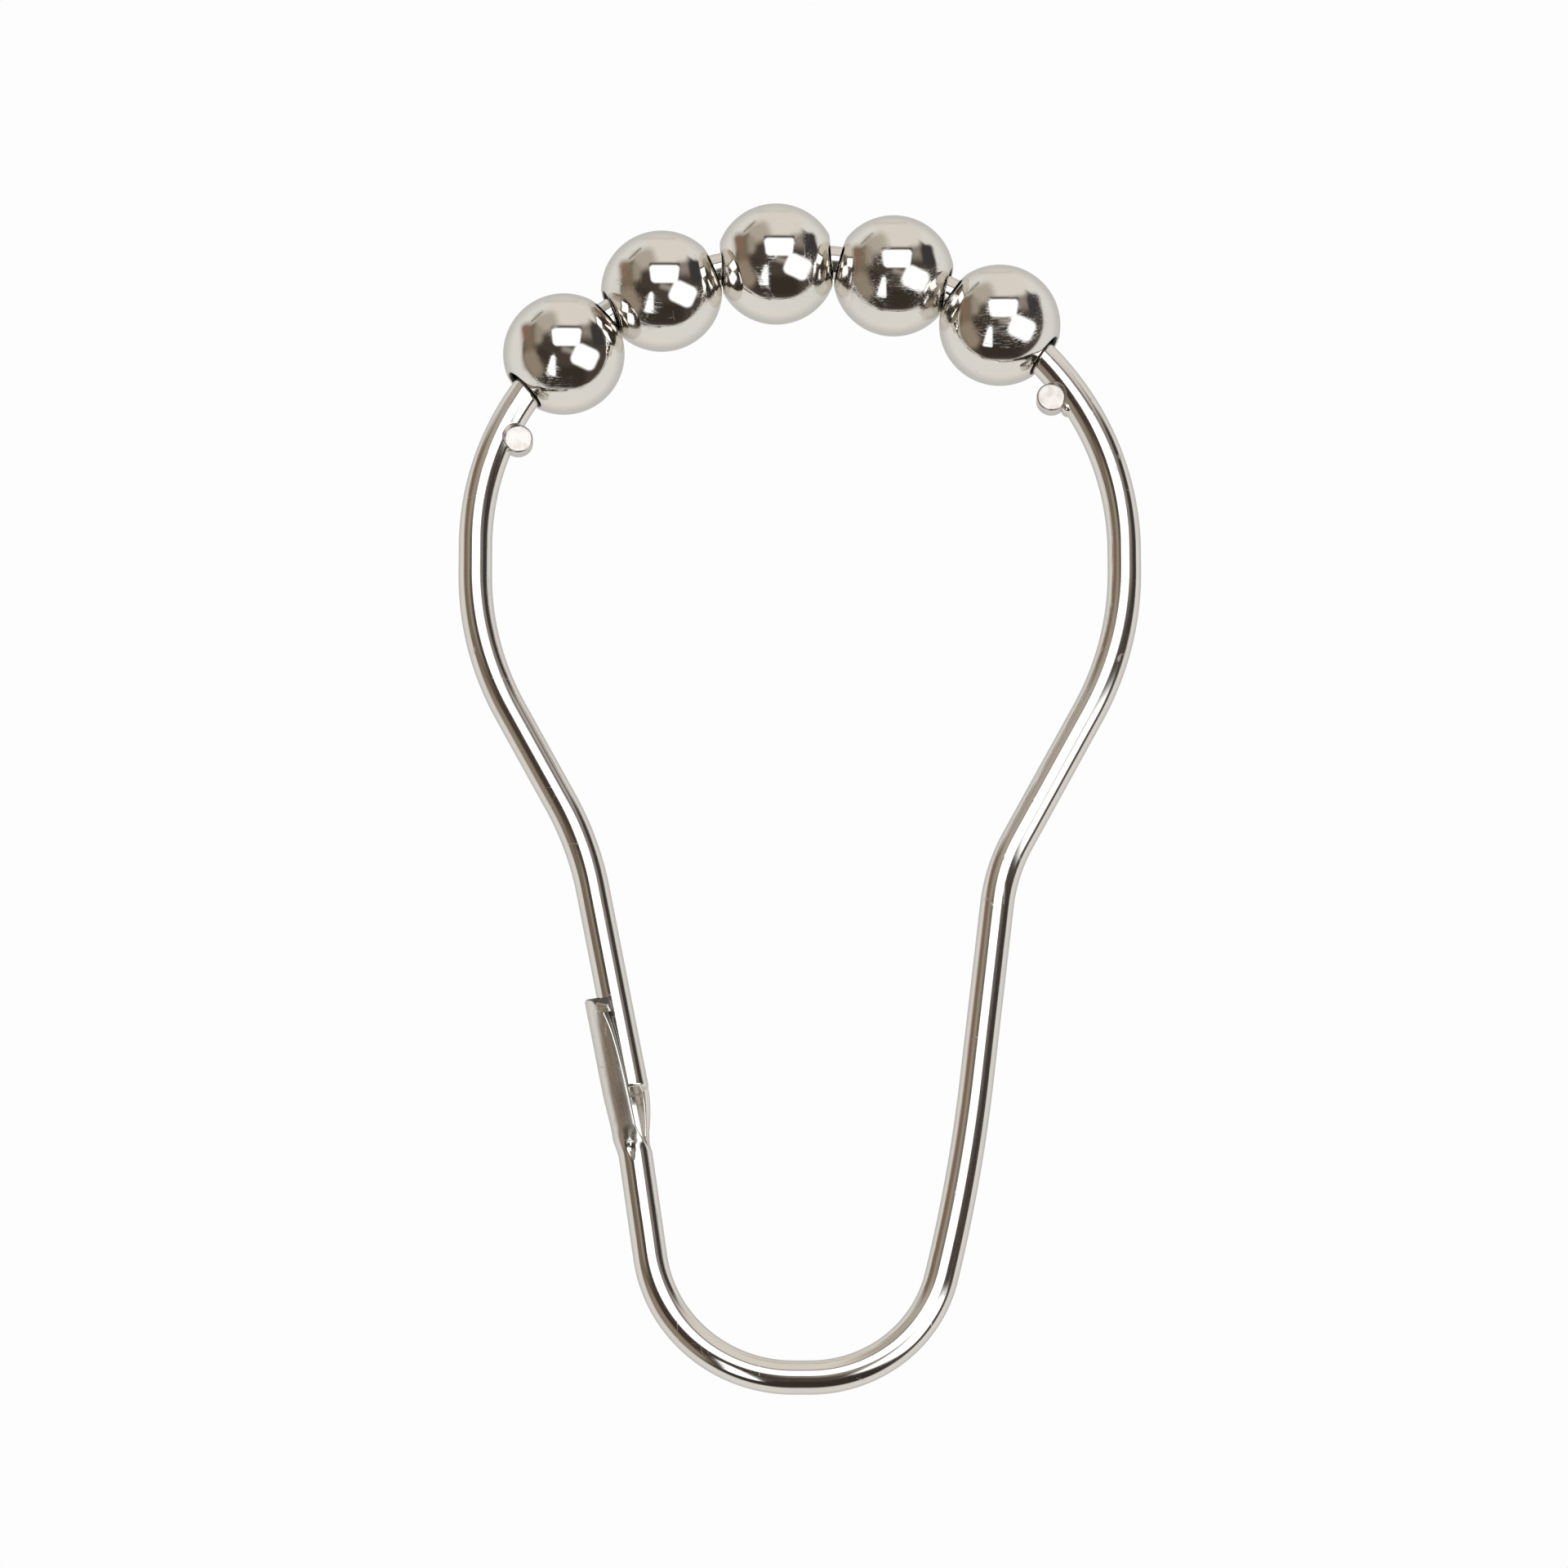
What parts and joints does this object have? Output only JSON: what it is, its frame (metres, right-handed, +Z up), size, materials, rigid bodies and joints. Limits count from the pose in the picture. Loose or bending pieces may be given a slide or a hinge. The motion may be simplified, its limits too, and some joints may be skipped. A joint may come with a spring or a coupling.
{
  "type": "shower curtain hook",
  "caption": "Pear-shaped wire ring that hangs a shower curtain from its rod: rolling balls on the crown, a stop ear on each shoulder and a sprung clasp on one leg.",
  "frame": {"origin": "rod seat: the top of the circle that touches the undersides of the balls, in the middle plane of the ring", "axes": "+Z up, from the curtain loop to the crown; X across the ring, with the clasp on the leg at -X; -Y towards the viewer, along the curtain rod"},
  "size_m": [0.0446, 0.008, 0.0811],
  "materials": {
    "wire": "bright nickel-plated spring steel wire, with fine draw lines along its length",
    "balls": "bright nickel-plated pressed steel, polished, with fine scratches from rolling"
  },
  "bodies": {
    "ring": {"ring_wire": "wire"},
    "ball_1": {"ball_1": "balls"},
    "ball_2": {"ball_2": "balls"},
    "ball_3": {"ball_3": "balls"},
    "ball_4": {"ball_4": "balls"},
    "ball_5": {"ball_5": "balls"}
  },
  "joints": [
    {"name": "ball_1_spin", "type": "hinge", "parent": "ring", "child": "ball_1", "pos_m": [-0.01553, 0, -0.00237], "axis": [0.7119, 0, 0.7023], "continuous": true},
    {"name": "ball_2_spin", "type": "hinge", "parent": "ring", "child": "ball_2", "pos_m": [-0.0091, 0, 0.00204], "axis": [0.9113, 0, 0.4118], "continuous": true},
    {"name": "ball_3_spin", "type": "hinge", "parent": "ring", "child": "ball_3", "pos_m": [-0.00155, 0, 0.00395], "axis": [0.9975, 0, 0.0701], "continuous": true},
    {"name": "ball_4_spin", "type": "hinge", "parent": "ring", "child": "ball_4", "pos_m": [0.0062, 0, 0.00311], "axis": [0.9599, 0, -0.2803], "continuous": true},
    {"name": "ball_5_spin", "type": "hinge", "parent": "ring", "child": "ball_5", "pos_m": [0.01317, 0, -0.00035], "axis": [0.8031, 0, -0.5958], "continuous": true}
  ]
}
